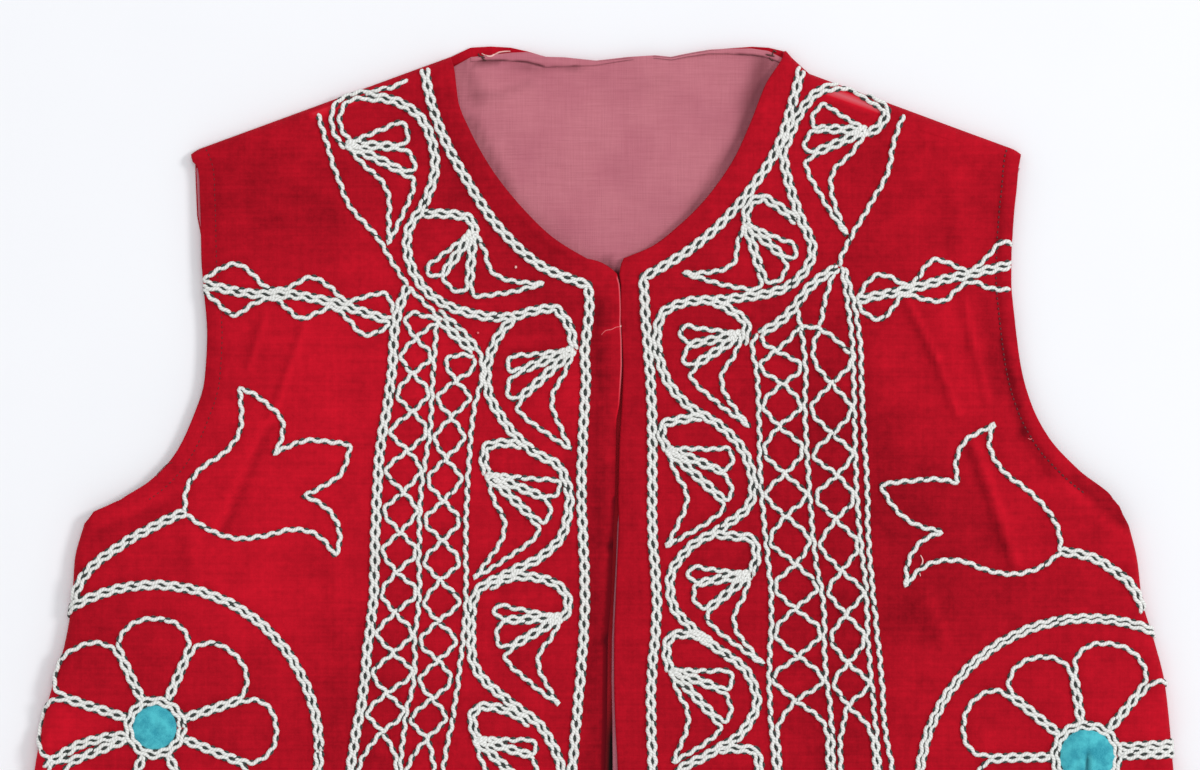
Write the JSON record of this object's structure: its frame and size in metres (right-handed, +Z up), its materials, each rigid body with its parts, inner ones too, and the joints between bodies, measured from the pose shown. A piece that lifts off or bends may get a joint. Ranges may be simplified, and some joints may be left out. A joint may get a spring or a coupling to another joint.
{
  "type": "embroidered folk vest",
  "caption": "Sleeveless red velvet folk vest with couched cord embroidery, open at the front, laid flat on its back.",
  "frame": {"origin": "centre of the footprint, on the surface that the vest lies on", "axes": "+Z up from the surface, +Y from the hem to the neck, +X to the wearer's left"},
  "size_m": [0.54, 0.5032, 0.0138],
  "materials": {
    "velvet": "matte cotton velvet with a short nap",
    "lining": "plain woven cotton",
    "applique": "felted wool cloth",
    "cord_white": "soft cotton cord",
    "cord_black": "cotton cord",
    "thread": "sewing thread"
  },
  "bodies": {
    "root": {"back_panel": "velvet", "back_lining": "lining", "back_neck_hem": "lining", "facing_right": "lining", "facing_left": "lining", "front_right": "velvet", "front_left": "velvet", "flower_centre_right": "applique", "flower_centre_left": "applique"}
  },
  "joints": []
}
